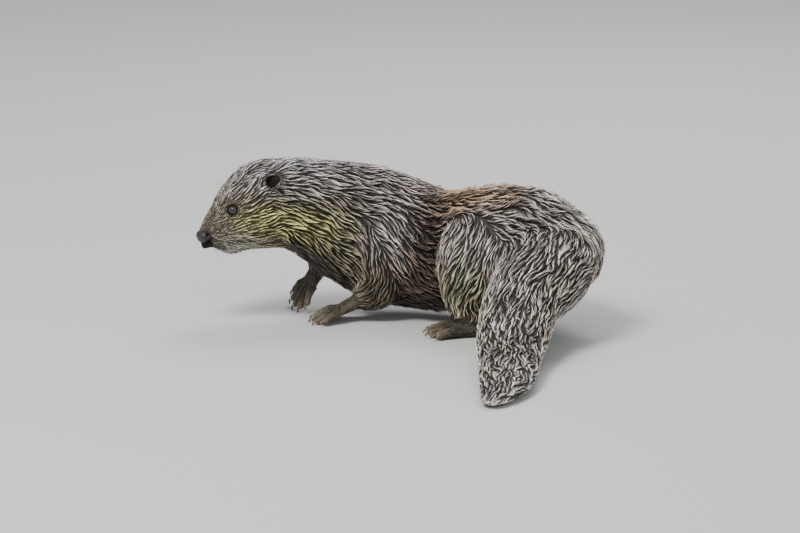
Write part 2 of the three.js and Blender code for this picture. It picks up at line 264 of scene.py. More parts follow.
def along(points, line):
    """For each point: its share of the way along a line, the direction there, and its distance off."""
    a, b = line[:-1], line[1:]
    step = b - a
    best = np.full(len(points), 1e9)
    share = np.zeros(len(points))
    heading = np.zeros((len(points), 3))
    for i in range(len(a)):
        t = np.clip(((points - a[i]) @ step[i]) / (step[i] @ step[i]), 0, 1)
        off = norm(points - (a[i] + t[:, None] * step[i]))
        nearer = off < best
        best[nearer] = off[nearer]
        share[nearer] = (i + t[nearer]) / len(a)
        heading[nearer] = step[i] / np.linalg.norm(step[i])
    return share, heading, best


def head_axes():
    """The head's axes in the stance: back from the nose, to the animal's right, and up."""
    cy, sy, cp, sp = (f(x) for x in (HEAD_YAW, HEAD_PITCH) for f in (math.cos, math.sin))
    turn = np.array([[cy, -sy, 0], [sy, cy, 0], [0, 0, 1]])
    tip = np.array([[cp, 0, -sp], [0, 1, 0], [sp, 0, cp]])
    return turn @ tip


HEAD_AXES = head_axes()


def to_head(p):
    """Stance points in the head's frame."""
    return (p - NOSE_TIP) @ HEAD_AXES


def from_head(p):
    """Points of the head's frame in the stance."""
    return np.asarray(p) @ HEAD_AXES.T + NOSE_TIP


def row(p):
    """Stance millimetres as metres in the model's frame."""
    return (np.asarray(p) + STANCE) * MM


def stance(p):
    """Metres in the model's frame as stance millimetres."""
    return np.asarray(p) / MM - STANCE


def tree_of(places):
    """A tree that finds the places nearest to a point."""
    tree = KDTree(len(places))
    for i, place in enumerate(places.tolist()):
        tree.insert(place, i)
    tree.balance()
    return tree


class Net:
    """A mesh's points and how they neighbour each other."""

    def __init__(self, mesh):
        self.mesh = mesh
        self.points = read(mesh.vertices, "co", 3)
        self.a, self.b = read(mesh.edges, "vertices", 2).astype(int).T
        count = len(self.points)
        self.degree = np.bincount(self.a, minlength=count) + np.bincount(self.b, minlength=count)

    def mean(self, values):
        """Each point's mean of its neighbours' values."""
        flat = values.reshape(len(values), -1)
        out = np.empty_like(flat)
        for k in range(flat.shape[1]):
            out[:, k] = np.bincount(self.a, flat[self.b, k], len(flat)) + np.bincount(
                self.b, flat[self.a, k], len(flat)
            )
        return (out / np.maximum(self.degree, 1)[:, None]).reshape(values.shape)

    def relax(self, values, rounds, share=0.5):
        """Values blurred over the surface. share may differ from point to point."""
        if np.ndim(share) and values.ndim > 1:
            share = share[:, None]
        for _ in range(rounds):
            values = values + (self.mean(values) - values) * share
        return values

    def grain(self, rng, rounds):
        """A smooth random field of mean 0 and spread 1."""
        field = self.relax(rng.standard_normal(len(self.points)), rounds)
        return (field - field.mean()) / field.std()


def read(collection, name, width):
    """An attribute of all of a mesh's vertices, edges, faces or corners as an array."""
    flat = np.zeros(len(collection) * width)
    collection.foreach_get(name, flat)
    return flat.reshape(-1, width)


def whole(collection, name):
    """A whole number of all of a mesh's faces or corners as an array."""
    return read(collection, name, 1).astype(int).ravel()


# ---------------------------------------------------------------- object tools
def clear_selection():
    """Nothing selected, and object mode."""
    if bpy.context.object and bpy.context.object.mode != "OBJECT":
        bpy.ops.object.mode_set(mode="OBJECT")
    bpy.ops.object.select_all(action="DESELECT")


def pick(*objects):
    """Only these objects selected, the first one active."""
    clear_selection()
    for o in objects:
        o.select_set(True)
    bpy.context.view_layer.objects.active = objects[0]


def edited(operator, **values):
    """An operator of edit mode run on the whole of the active object."""
    bpy.ops.object.mode_set(mode="EDIT")
    bpy.ops.mesh.select_all(action="SELECT")
    operator(**values)
    bpy.ops.object.mode_set(mode="OBJECT")


def copied(names, name):
    """Copies of CAD nodes joined as one object, each shell with its loose triangles merged."""
    copies = []
    for n in names:
        o = bpy.data.objects.new(name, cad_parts[n].data.copy())
        o.data.materials.clear()
        bpy.context.scene.collection.objects.link(o)
        copies.append(o)
    pick(*copies)
    if len(copies) > 1:
        bpy.ops.object.join()
    made = bpy.context.object
    edited(bpy.ops.mesh.remove_doubles, threshold=0.00001)
    made.name = made.data.name = name
    return made


def modified(o, kind, **values):
    """A modifier added with these values and applied."""
    pick(o)
    modifier = o.modifiers.new(kind.title(), kind)
    for key, value in values.items():
        setattr(modifier, key, value)
    bpy.ops.object.modifier_apply(modifier=modifier.name)


def moved(o, p):
    """An object's points moved to these stance points."""
    o.data.vertices.foreach_set("co", row(p).ravel())
    o.data.update()


def shaded_smooth(o):
    """An object with smooth shading."""
    pick(o)
    bpy.ops.object.shade_smooth()


def finished(o, material):
    """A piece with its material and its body."""
    o.data.materials.clear()
    o.data.materials.append(material)
    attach(o, "root")
    return o


# ---------------------------------------------------------------- materials
class Nodes:
    """A material's node tree, with short ways to add and join nodes."""

    def __init__(self, name):
        self.material = bpy.data.materials.new(name)
        self.material.use_nodes = True
        self.tree = self.material.node_tree
        self.shader = self.tree.nodes["Principled BSDF"]

    def add(self, kind, links=None, **values):
        """A node with some sockets set and some linked. Sockets are named by words or numbers."""
        node = self.tree.nodes.new(kind)
        for key, value in values.items():
            setattr(node, key, value)
        for socket, source in (links or {}).items():
            self.plug(node.inputs[socket], source)
        return node

    def plug(self, socket, source):
        """A socket linked to another one, or set to a value."""
        if isinstance(source, bpy.types.NodeSocket):
            self.tree.links.new(source, socket)
        else:
            socket.default_value = source

    def set(self, **values):
        """Values or links on the shader itself. Underscores stand for spaces."""
        for key, value in values.items():
            self.plug(self.shader.inputs[key.replace("_", " ")], value)

    def texture(self, kind, output, scale, **sockets):
        """A texture over the object, in features per metre."""
        place = self.add("ShaderNodeTexCoord").outputs["Object"]
        return self.add(kind, {"Vector": place, "Scale": scale, **sockets}).outputs[output]

    def noise(self, scale, detail=3.0):
        """Noise over the object."""
        return self.texture("ShaderNodeTexNoise", "Fac", scale, Detail=detail)

    def ramp(self, value, out_low=0.0, out_high=1.0, low=0.3, high=0.7):
        """A value's span mapped to another span."""
        sockets = {0: value, 1: low, 2: high, 3: out_low, 4: out_high}
        return self.add("ShaderNodeMapRange", sockets).outputs[0]

    def mix(self, kind, share, a, b):
        """Two colours mixed."""
        node = self.add("ShaderNodeMix", {0: share, 6: a, 7: b}, data_type="RGBA", blend_type=kind)
        return node.outputs[2]

    def tone(self, share):
        """The piece's own colour at each point, times a share."""
        own = self.add("ShaderNodeAttribute", attribute_name="Tone").outputs["Color"]
        return self.mix("MULTIPLY", 1.0, own, share)

    def shades(self, rgb, low, high, share):
        """A colour between two brightnesses of itself."""
        return self.mix("MIX", share, with_alpha(np.array(rgb) * low), with_alpha(np.array(rgb) * high))

    def bump(self, height, depth, strength):
        """A bump from a height."""
        sockets = {"Height": height, "Distance": depth, "Strength": strength}
        return self.add("ShaderNodeBump", sockets).outputs["Normal"]


def with_alpha(rgb):
    """A colour as red, green, blue and alpha."""
    return (rgb[0], rgb[1], rgb[2], 1.0)


def coat_material(name, roughness):
    """Wet hair: the tufts' colours with their painted highlights and shade, broken up by fine noise."""
    nodes = Nodes(name)
    base = nodes.tone(nodes.ramp(nodes.noise(900.0, 2.0), 0.78, 1.18))
    strands = nodes.noise(2600.0, 2.0)
    nodes.set(Base_Color=base, Roughness=roughness, Specular_IOR_Level=0.55)
    nodes.set(Normal=nodes.bump(strands, 0.0004, 0.5))
    return nodes.material


def skin_material():
    """Bare skin and the flat wet underfur on it."""
    nodes = Nodes("otter_skin")
    base = nodes.tone(nodes.ramp(nodes.noise(260.0, 4.0), 0.75, 1.2))
    height = nodes.noise(1100.0, 3.0)
    nodes.set(Base_Color=base, Roughness=0.58, Specular_IOR_Level=0.12)
    nodes.set(Normal=nodes.bump(height, 0.0006, 0.7))
    return nodes.material


# ---------------------------------------------------------------- the skin
def part_of(points):
    """The number of each point's part in PARTS, from the nearest solid."""
    corners, faces, owners = [], [], []
    for name in FLESH:
        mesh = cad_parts[name].data
        start = sum(len(c) for c in corners)
        corners.append(read(mesh.vertices, "co", 3))
        number = next(i for i, part in enumerate(PARTS) if name.startswith(part))
        for face in mesh.polygons:
            faces.append([start + v for v in face.vertices])
            owners.append(number)
    tree = BVHTree.FromPolygons(np.vstack(corners).tolist(), faces)
    owners = np.array(owners)
    return owners[[tree.find_nearest(p)[2] for p in points.tolist()]]


def refine(o, wanted):
    """Splits the faces whose centres are wanted, so that small forms have room."""
    shape = bmesh.new()
    shape.from_mesh(o.data)
    centres = np.array([f.calc_center_median() for f in shape.faces])
    chosen = wanted(stance(centres))
    edges = {e for f, c in zip(shape.faces, chosen) if c for e in f.edges}
    bmesh.ops.subdivide_edges(shape, edges=list(edges), cuts=1, use_grid_fill=True)
    shape.to_mesh(o.data)
    shape.free()


def near_face(p):
    """True on the muzzle and around the eyes."""
    h = to_head(p)
    return (h[:, 0] < 58) & (h[:, 0] > -10) & (h[:, 2] > -28)


def near_mouth(p):
    """True round the nose and along the lips."""
    h = to_head(p)
    return (h[:, 0] < 40) & (h[:, 2] > -24) & (h[:, 2] < 14 - h[:, 0] * 0.5)


def off_pair(p, place):
    """How far stance points lie from a place of the head or its mirror image, whichever is nearer."""
    h = to_head(p)
    return np.minimum(*(norm(h - place * flip) for flip in FLIPS.values()))


def near_eye(p):
    """True close to either eye."""
    return off_pair(p, EYE_PLACE) < 12


def near_ear(p):
    """True close to either ear."""
    return off_pair(p, EAR_PLACE) < 16


def limb(p, part, name):
    """True for the points of a leg or a foot: of its part, and on its side of the body."""
    return (part == PARTS.index(name.split("_")[0])) & ((p[:, 1] > BETWEEN_LIMBS) == ("right" in name))


def foot_axes(name):
    """A foot's ankle, the way its toes point and the way across them."""
    yaw, pitch = (math.radians(angle) for angle in FEET[name])
    toes = np.array([-math.cos(yaw) * math.cos(pitch), -math.sin(yaw) * math.cos(pitch), -math.sin(pitch)])
    ankle = np.array(LEGS[name.replace("foot", "leg")][-1], float)
    return ankle, np.stack([toes, unit(np.cross(UP, toes))])


def claws_of(name):
    """Where the claws of a foot are, in order across the foot."""
    stem = name.replace("foot", "claw")
    found = [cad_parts[n].data for n in sorted(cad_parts) if n.startswith(stem)]
    return np.array([stance(read(mesh.vertices, "co", 3)).mean(0) for mesh in found])


def near_toes(p, reach=17):
    """True on the front of each foot, within reach of a claw."""
    claws = np.vstack([claws_of(name) for name in FEET])
    return np.min([norm(p - claw) for claw in claws], axis=0) < reach


def toe_grooves(p, part):
    """How deep each point lies in a groove between two toes, from 0 to 1."""
    deep = np.zeros(len(p))
    for name in FEET:
        ankle, axes = foot_axes(name)
        mine = limb(p, part, name)
        flat = np.pad((p - ankle) @ axes.T, ((0, 0), (0, 1)))
        ends = (claws_of(name) - ankle) @ axes.T
        for one, other in zip(ends, ends[1:]):
            middle = np.append((one + other) / 2, 0)
            off = along(flat, np.array([middle * 0.42, middle * 1.1]))[2]
            deep = np.maximum(deep, mine * hill(off, 0, 1.4))
    return deep


def bulge(h, normals, place, radius, height):
    """Moves points near a place out along their normals."""
    off = norm(h - place)
    return normals * (height * fade(0, radius, off))[:, None]


# forms of the face's right side, in the head's frame, in mm
MOUTH = np.array(
    [(3.0, 0.0, -13.5), (9, 9.5, -14.5), (17, 16.5, -16), (27, 22, -18), (37, 27, -19), (45, 31, -16)]
)
PAD_EDGE = np.array([(31.0, 22.0, 12.0), (37, 27, 2), (41, 30, -8), (44, 32, -15)])
PAD = np.array([24, 17, -6])
BROW = np.array([57, 25, 29])
CHEEK = np.array([72, 44, -4])
CHIN = np.array([29, 0, -27])
BEFORE_EYE = np.array([40, 23, 13])
BEHIND_EYE = np.array([64, 34, 15])
EYE_OUT = unit(np.array([-0.42, 0.86, 0.3]))  # the way each eye looks, in the head's frame
EYE_LONG = np.array([-0.9, 0.5, -0.25])  # the way that its opening is long
EAR_OUT = unit(np.array([-0.46, 0.84, 0.28]))
EAR_TALL = np.array([0.3, 0, 1.0])
EAR_RIM = 9.8  # radius of each ear's rim, in mm
EYE_OPENING = (0.82, 0.64)  # half the length and the height of each eye's opening, in eyeball radii


def face_form(p, normals):
    """The small forms of the face, as moves in the stance, in mm."""
    sizes = settings("otter_skin")
    h = to_head(p)
    n = normals @ HEAD_AXES
    x, y, z = h.T
    move = np.zeros_like(h)
    front = fade(13, 24, x)
    upper = smooth(-9, -5, z)
    move[:, 1] -= y * front * (0.5 * upper + 0.28 * (1 - upper))
    lip = fade(7, 19, x) * hill(z, -10, 5) * hill(y, 0, 10)
    move[:, 0] -= 4.0 * lip
    move[:, 2] -= 2.6 * lip
    forms = (
        (PAD, 14, sizes.pad_bulge / MM),
        (BROW, 13, sizes.brow_bulge / MM),
        (CHEEK, 24, 1.8),
        (BEFORE_EYE, 11, -2.2),
        (BEHIND_EYE, 9, -1.2),
    )
    for flip in FLIPS.values():
        for place, radius, height in forms:
            move += bulge(h, n, place * flip, radius, height)
        off = along(h, curve_through(MOUTH * flip))[2]
        move -= n * (sizes.mouth_depth / MM * hill(off, 0, 1.5))[:, None]
        off = along(h, curve_through(PAD_EDGE * flip))[2]
        move -= n * (1.1 * hill(off, 0, 2.4))[:, None]
    move += bulge(h, n, CHIN, 24, 4.2)
    return move @ HEAD_AXES.T


def shape_ears(p):
    """Draws each ear as a rounded flap round a deep bowl, highest behind and above."""
    depth = settings("otter_skin").ear_bowl / MM
    h = to_head(p)
    for flip in FLIPS.values():
        out = EAR_OUT * flip
        tall = unit(EAR_TALL - out * (out @ EAR_TALL))
        back = np.cross(out, tall)
        back *= np.sign(back[0])
        arm = h - EAR_PLACE * flip
        a, b, c = arm @ back, arm @ tall, arm @ out
        r = np.hypot(a, b)
        near = fade(11, 16.5, r) * smooth(-19, -10, c)
        flap = 0.5 + 0.5 * (a * 0.62 + b * 0.78) / np.maximum(r, 1)
        rim = (1.2 + 5.0 * flap) * hill(r, EAR_RIM, 1.7)
        bowl = depth * fade(5.0, 8.8, r)
        change = near * (-0.6 * c + rim - bowl + 0.5)
        h = h + out * change[:, None]
    return from_head(h)


def ear_bowl(h):
    """How far inside an ear each point of the head's frame lies, from 0 to 1."""
    inside = np.zeros(len(h))
    for flip in FLIPS.values():
        arm = h - EAR_PLACE * flip
        c = arm @ (EAR_OUT * flip)
        r = np.sqrt(np.maximum((arm**2).sum(1) - c**2, 0))
        inside = np.maximum(inside, fade(7.2, 9.0, r) * (c > -16))
    return inside


def open_eyes(p):
    """Draws the skin round each eyeball: behind it in the opening, and over it as lids."""
    radius = settings("otter_face").eye_radius / MM
    h = to_head(p)
    for flip in FLIPS.values():
        centre = EYE_PLACE * flip
        out = EYE_OUT * flip
        arm = h - centre
        far = norm(arm)
        ray = arm / np.maximum(far, 1e-6)[:, None]
        long_way = unit(np.cross(np.cross(out, EYE_LONG * flip), out))
        tall_way = np.cross(out, long_way)
        tall_way *= np.sign(tall_way[2])
        across = (ray @ long_way) / EYE_OPENING[0]
        tall = (ray @ tall_way) / EYE_OPENING[1]
        corner = hill(ray @ long_way, 0.62, 0.3)
        rim = np.sqrt(across**2 + tall**2) + 0.1 * corner * (np.abs(tall) - 0.3)
        facing = ray @ out > 0
        close = far < 13
        opening = fade(0.88, 1.02, rim) * facing
        lid = radius + 0.3 + (0.75 + 0.5 * (tall > 0)) * hill(rim, 1.16, 0.2)
        wanted = np.where(far < lid, lid, far)
        ease = fade(6.5, 11.5, far)
        wanted = wanted + (np.minimum(wanted, lid + 0.6) - wanted) * ease
        wanted = wanted + (radius * 0.72 - wanted) * opening
        h = np.where((close & facing)[:, None], centre + ray * wanted[:, None], h)
    return from_head(h)


# how far the skin lies under the tips of the coat on each of PARTS, in mm
COAT_DEPTH = np.array([2.6, 0.3, 4.2, 4.6, 4.8, 4.6, 3.6, 2.6, 3.2, 0.1, 0.1])


def coat_depth(p, part):
    """How far the skin lies under the tips of the coat at each point, in mm."""
    depth = COAT_DEPTH[part]
    face = fade(30, 95, to_head(p)[:, 0])
    depth = np.where(part == PARTS.index("head"), depth + (0.9 - depth) * face, depth)
    wrist = fade(35, 80, p[:, 2]) * (part == PARTS.index("foreleg"))
    return depth + (0.3 - depth) * wrist


# patches of colour: their colour, how strong they are, and the places and radii of their spots, in the stance
FRONT_SPOTS = (
    # painted sheen of the overhead light on the top of the head and the neck
    ("pale_hair_and_sheen", 0.75, (((-170, 0, 172), (60, 60, 22)), ((-95, 20, 185), (70, 60, 26)))),
    # painted green reflection on the cheek and the side of the neck
    ("green_reflection", 1.1, (((-162, -30, 128), (44, 75, 22)), ((-108, -20, 116), (46, 70, 26)))),
    # painted wet sheen on both shoulders
    ("pale_hair_and_sheen", 0.8, (((-14, -30, 122), (30, 50, 36)), ((-14, 95, 122), (30, 50, 36)))),
    ("khaki", 1.0, (((-70, 30, 60), (54, 90, 36)),)),
)
HAUNCH_SPOTS = (((235, -60, 70), (40, 90, 50)), ((84, -90, 70), (18, 60, 45)))


class Skin:
    """What the coat needs to know of the skin, worked out once."""

    def __init__(self, o):
        self.object = o
        self.net = Net(o.data)
        self.points = stance(self.net.points)
        self.normals = read(o.data.vertices, "normal", 3)
        self.part = part_of(self.net.points)
        self.is_part = {name: (self.part == i).astype(float) for i, name in enumerate(PARTS)}
        self.soft = {name: self.net.relax(mask, 24) for name, mask in self.is_part.items()}
        self.head = to_head(self.points)
        self.flow = self.lie_of_the_coat()

    def lie_of_the_coat(self):
        """The way that the hair points at each point of the skin."""
        p, n = self.points, self.normals
        share, back, _ = along(p, curve_through(SPINE))
        side = 1 - np.abs(n[:, 2])
        droop = 0.10 + 0.75 * smooth(0.30, 0.42, share) * fade(0.5, 0.62, share)
        droop += 0.35 * smooth(0.5, 0.7, share) + 1.3 * smooth(0.78, 0.95, share)
        flow = back - UP * (droop * side)[:, None]
        throat = smooth(0.1, 0.6, -n[:, 2]) * fade(0.25, 0.4, share)
        flow -= UP * (0.5 * throat)[:, None]
        is_head = self.is_part["head"] + self.is_part["ear"]
        from_nose = unit(self.head - np.array([-14, 0, -4])) @ HEAD_AXES.T
        straight = HEAD_AXES[:, 0]
        far_back = smooth(20, 100, self.head[:, 0])[:, None]
        pads = (hill(self.head[:, 0], 28, 14) * hill(self.head[:, 2], -16, 11))[:, None]
        face_way = from_nose * (1 - far_back) + straight * far_back - HEAD_AXES[:, 2] * pads
        flow = np.where(is_head[:, None] > 0, face_way, flow)
        for flip in FLIPS.values():
            arm = (self.head - (EAR_PLACE + [6, 0, 4]) * flip) @ HEAD_AXES.T
            far = norm(arm)
            behind = hill(far, 0, 24) * smooth(-4, 6, arm @ HEAD_AXES[:, 0])
            flow = flow + (unit(arm) - UP * 0.2) * (1.1 * behind)[:, None]
        mine = self.is_part["tail"] > 0
        flow[mine] = along(p[mine], curve_through(TAIL))[1]
        for name, line in LEGS.items():
            mine = np.flatnonzero(limb(p, self.part, name))
            _, leg_way, off = along(p[mine], curve_through(line))
            flow[mine[off < 75]] = (leg_way - UP * 0.25)[off < 75]
        for name in FEET:
            mine = limb(p, self.part, name)
            flow[mine] = foot_axes(name)[1][0] - UP * 0.08
        flow = laid_flat(flow, n)
        raw = flow.copy()
        for _ in range(40):
            flow = self.net.mean(flow) * 0.8 + raw * 0.2
            flow = laid_flat(flow, n)
        return flow

    def tone(self, rng):
        """The coat's colour at each point, with painted sheen, green reflection and shade laid in."""
        c = {key: np.array(getattr(settings("otter_colours"), key)) for key in CoatColours.__annotations__}
        p, n, s = self.points, self.normals, self.soft
        x, _, z = p.T
        tone = np.tile(c["taupe"], (len(p), 1))

        def lay(key, share):
            nonlocal tone
            tone = tone + (c[key] - tone) * np.clip(share, 0, 1)[:, None]

        def spot(place, radius):
            off = (p - np.array(place)) / np.array(radius)
            return np.exp(-(off**2).sum(1))

        # head, neck, chest and forelegs
        h = self.head
        for key, strength, spots in FRONT_SPOTS:
            lay(key, sum(spot(*place) for place in spots) * strength)
        # painted shade under the elbows; the forelegs darker towards the feet
        elbow = spot((-10, -20, 44), (44, 60, 26))
        lay("dark_foreleg", np.maximum(s["foreleg"] * fade(50, 90, z), elbow) * 0.95)
        # hips and tail, the dry band of the flank, and the dry ridge of the back
        behind = np.maximum(smooth(95, 150, x + 0.3 * z), np.maximum(s["tail"], s["hindleg"]))
        lay("beige", behind * 0.9)
        patches = smooth(-0.4, 1.2, self.net.grain(rng, 150))
        # painted wet sheen in random patches over the hips and tail
        lay("pale_hair_and_sheen", behind * patches * 0.6)
        lay("khaki", sum(spot(*place) for place in HAUNCH_SPOTS) * 0.6)
        band = hill(x, 27 + 0.06 * (z - 90), 17 + 0.1 * (120 - z))
        lay("umber", 1.5 * band * (1 - smooth(95, 150, z) * 0.5) * (1 - np.clip(s["hindleg"] * 1.4, 0, 1)))
        ridge = smooth(0.3, 0.75, n[:, 2]) * smooth(30, 56, x) * fade(128, 160, x)
        ridge *= (1 - s["tail"]) * (1 - np.clip(s["hindleg"] * 1.6, 0, 1))
        lay("russet", ridge * (0.55 + 0.45 * patches))
        lay("umber", ridge * (0.5 - 0.5 * patches))
        # painted wet sheen on the top of the rump
        lay("pale_hair_and_sheen", spot((130, -90, 125), (60, 70, 45)) * 0.6)
        # hind legs, belly and feet
        # painted green reflection on the upper hind legs
        lay("green_reflection", s["hindleg"] * fade(60, 115, z) * 0.3)
        lay("khaki", s["hindleg"] * fade(40, 80, z) * 0.35)
        lay("umber", s["hindleg"] * fade(18, 40, z) * 0.85)
        # painted shade on every surface that faces down, but not on the head or the tail
        under = smooth(0.35, 0.8, -n[:, 2]) * (1 - s["head"]) * (1 - s["tail"])
        lay("shade", under * 0.85)
        lay("paw", np.clip((s["forefoot"] + s["hindfoot"]) * 1.6, 0, 1) * 0.9)
        # muzzle, beard, and the dark round the eyes (partly painted shade of the upper lids), with painted
        # shade in the ear bowls and between the toes
        lay("muzzle", fade(14, 50, h[:, 0]) * s["head"] * 0.85)
        # pale hairs of the beard under the lips
        lay("pale_hair_and_sheen", hill(h[:, 0], 34, 16) * hill(h[:, 2], -22, 8) * s["head"] * 0.6)
        for flip in FLIPS.values():
            # dark fur round each eye, reaching forward and up, with painted shade of the upper lid
            off = norm((h - (EYE_PLACE + [-2.5, 0, 1]) * flip) / [1.25, 1, 1])
            lay("shade", fade(5.5, 10.5, off) * 0.85)
        lay("shade", s["ear"] * 0.25)
        # painted shade in each ear's bowl
        lay("inner", ear_bowl(h))
        lay("inner", nose_skin(h))
        for name in FEET:
            strength = 0.9 if "hind" in name else 0.5
            for claw in claws_of(name):
                lay("toe", hill(norm(p - claw), 0, 7) * strength)
        # painted shade in the grooves between the toes
        lay("inner", toe_grooves(p, self.part) * 0.8)
        broad = 1 + 0.12 * self.net.grain(rng, 100)
        return tone * np.clip(broad, 0.6, 1.4)[:, None]

    def under_coat(self):
        """The skin's colour: dark as wet roots with painted shade between the tufts, but like the coat's on
        the feet and on the face.
        """
        root = np.array(settings("otter_colours").root)
        feet = np.clip(self.is_part["forefoot"] + self.is_part["hindfoot"], 0, 1)
        face = fade(25, 80, self.head[:, 0]) * self.is_part["head"]
        as_coat = (0.1 + 0.9 * feet + 0.35 * face)[:, None]
        return self.colour * as_coat + root * (1 - as_coat)


def paint(mesh, tone):
    """The colour attribute that the materials read."""
    attribute = mesh.color_attributes.new("Tone", "FLOAT_COLOR", "POINT")
    full = np.ones((len(tone), 4), np.float32)
    full[:, :3] = tone
    attribute.data.foreach_set("color", full.ravel())


def settled(o, rounds):
    """A skin's net, parts and points, smoothed least where the forms are small."""
    net = Net(o.data)
    part = part_of(net.points)
    p = stance(net.points)
    feet = np.isin(part, [PARTS.index(k) for k in ("forefoot", "hindfoot")]).astype(float)
    kept = np.maximum(net.relax(feet, 4), near_eye(p) * 1.0)
    kept = np.maximum(kept, 0.6 * fade(30, 64, to_head(p)[:, 0]))
    lower = np.isin(part, [PARTS.index(k) for k in ("foreleg", "hindleg")]) * fade(60, 100, p[:, 2])
    kept = np.maximum(kept, net.relax(0.62 * lower, 4))
    loose = 1 - np.clip(kept * 1.4, 0, 1)
    p = net.relax(p, rounds, 0.5 * loose)
    for _ in range(2):
        p = net.relax(p, 1, 0.5)
        p = net.relax(p, 1, -0.53 * (1 - loose))
    moved(o, p)
    return net, part, p


ROUNDS_WHOLE = 40  # rounds of smoothing before the small forms have faces of their own
ROUNDS_REFINED = 8  # and after
FACE_END = 105  # how far behind the nose the forms of the face reach, in mm


def make_skin():
    """The flesh solids as one smooth skin, inside them by the depth of the coat."""
    sizes = settings("otter_skin")
    o = copied(BASE, "skin")
    modified(o, "DISPLACE", strength=sizes.bridge, mid_level=0.0)
    pick(o)
    o.data.remesh_voxel_size = sizes.grain
    o.data.remesh_voxel_adaptivity = 0.0
    bpy.ops.object.voxel_remesh()
    settled(o, ROUNDS_WHOLE)
    for wanted in (near_face, near_mouth, near_ear, near_ear, near_eye, near_toes):
        refine(o, wanted)
    net, part, p = settled(o, ROUNDS_REFINED)
    normals = read(o.data.vertices, "normal", 3)
    depth = net.relax(coat_depth(p, part), 16) + sizes.bridge / MM
    depth = depth + sizes.toe_groove / MM * toe_grooves(p, part)
    p = p - normals * depth[:, None]
    front = to_head(p)[:, 0] < FACE_END
    p[front] += face_form(p[front], normals[front])
    p = net.relax(p, 2, 0.4)
    p = shape_ears(p)
    p = open_eyes(p)
    p[:, 2] = np.maximum(p[:, 2], LOWEST)
    moved(o, p)
    shaded_smooth(o)
    edited(bpy.ops.uv.smart_project, angle_limit=math.radians(80), island_margin=0.002)
    return o


# ---------------------------------------------------------------- the coat
# The wet coat is made of blades. A blade has a triangle for a section, rings along it and a point. The points
# of neighbouring blades are drawn together to the line of one of them, their clump's leader.
RINGS = 4
# length and width of a blade, distance between blades across the lie and along it, height over the skin, and
# distance between clumps across and along, in mm
LIE = {
    "head": (12.5, 1.15, 1.15, 3.2, 2.0, 3.2, 8.0),
    "ear": (4.0, 0.8, 0.9, 1.6, 0.6, 1.8, 3.5),
    "neck": (16.0, 1.25, 1.3, 3.7, 3.3, 3.6, 8.5),
    "chest": (17.5, 1.3, 1.35, 3.9, 3.8, 3.9, 9.0),
    "loin": (17.5, 1.3, 1.35, 3.9, 4.0, 3.9, 9.0),
    "rump": (17.0, 1.3, 1.35, 3.9, 3.8, 3.9, 9.0),
    "tail": (17.0, 1.25, 1.35, 3.9, 3.0, 3.7, 9.5),
    "foreleg": (12.0, 1.15, 1.25, 3.3, 1.9, 3.0, 7.0),
    "hindleg": (15.5, 1.25, 1.35, 3.7, 2.6, 3.6, 8.5),
    "forefoot": (3.4, 0.6, 0.8, 1.7, 0.3, 1.3, 3.5),
    "hindfoot": (3.6, 0.65, 0.85, 1.8, 0.35, 1.4, 3.5),
}
FACE_LEAST = (4.4, 0.8, 0.9, 1.8, 0.45, 2.4, 4.6)  # the same sizes at the nose
BEARD_MORE = (6.5, 0.25, 0.1, 0.8, 0.5, 0.7, 2.5)  # and what they gain behind the lips
RIM_LESS = (0.7, 0.35, 0.35, 0.45, 0.65, 0.4, 0.5)  # shares that they lose round the ears and the eyes
TAIL_TIP_LESS = (0.2, 0.15, 0.15, 0.15, 0.35, 0.15, 0.2)  # and at the tail's tip
# the parts of each piece of the coat, and the stretch along the tail that it covers
PIECES = {
    "coat_head": (("head", "ear"), None),
    "coat_neck": (("neck",), None),
    "coat_chest": (("chest",), None),
    "coat_loin": (("loin",), None),
    "coat_rump": (("rump",), None),
    "coat_tail_base": (("tail",), (0.0, 0.42)),
    "coat_tail_end": (("tail",), (0.42, 1.1)),
    "coat_forelegs": (("foreleg", "forefoot"), None),
    "coat_hindlegs": (("hindleg", "hindfoot"), None),
}


def coat_sizes(skin):
    """The sizes of LIE at each point of the skin, smallest on the face."""
    table = np.array([LIE[name] for name in PARTS], float)
    field = skin.net.relax(table[skin.part], 12)
    on_head = skin.is_part["head"] > 0
    face = fade(8, 100, skin.head[:, 0]) * on_head
    for k, least in enumerate(FACE_LEAST):
        field[:, k] = field[:, k] + (least - field[:, k]) * face**1.2
    for flip in FLIPS.values():
        for place, low, high in ((EAR_PLACE, 10, 20), (EYE_PLACE, 7, 15)):
            short = fade(low, high, norm(skin.head - place * flip))
            for k, share in enumerate(RIM_LESS):
                field[:, k] *= 1 - share * short
    tail = np.flatnonzero(skin.is_part["tail"] > 0)
    tip = smooth(0.45, 1.0, along(skin.points[tail], curve_through(TAIL))[0])
    for k, share in enumerate(TAIL_TIP_LESS):
        field[tail, k] *= 1 - share * tip
    beard = on_head * hill(skin.head[:, 0], 32, 14) * hill(skin.head[:, 2], -20, 8)
    for k, more in enumerate(BEARD_MORE):
        field[:, k] += more * beard
    back = smooth(0.35, 0.8, skin.normals[:, 2]) * smooth(20, 60, skin.points[:, 0])
    rough = 0.5 + 0.9 * back + 0.3 * skin.soft["rump"] - 0.3 * fade(30, 120, skin.head[:, 0])
    flank = hill(skin.points[:, 0], 30, 24) * (1 - skin.soft["hindleg"])
    rough = np.maximum(rough + 0.7 * flank - 0.45 * skin.soft["tail"], 0.12)
    return np.hstack([field, rough[:, None]])


def nose_skin(h):
    """How far each point of the head's frame belongs to the bare skin round the nose, from 0 to 1."""
    edge = 17.5 - 9.5 * smooth(3.5, 8.0, h[:, 2])
    above = fade(-4, 1, h[:, 0] - edge) * smooth(-7, -4, h[:, 2])
    below = fade(12.5, 15.5, h[:, 0]) * fade(-7, -4, h[:, 2])
    return above + below


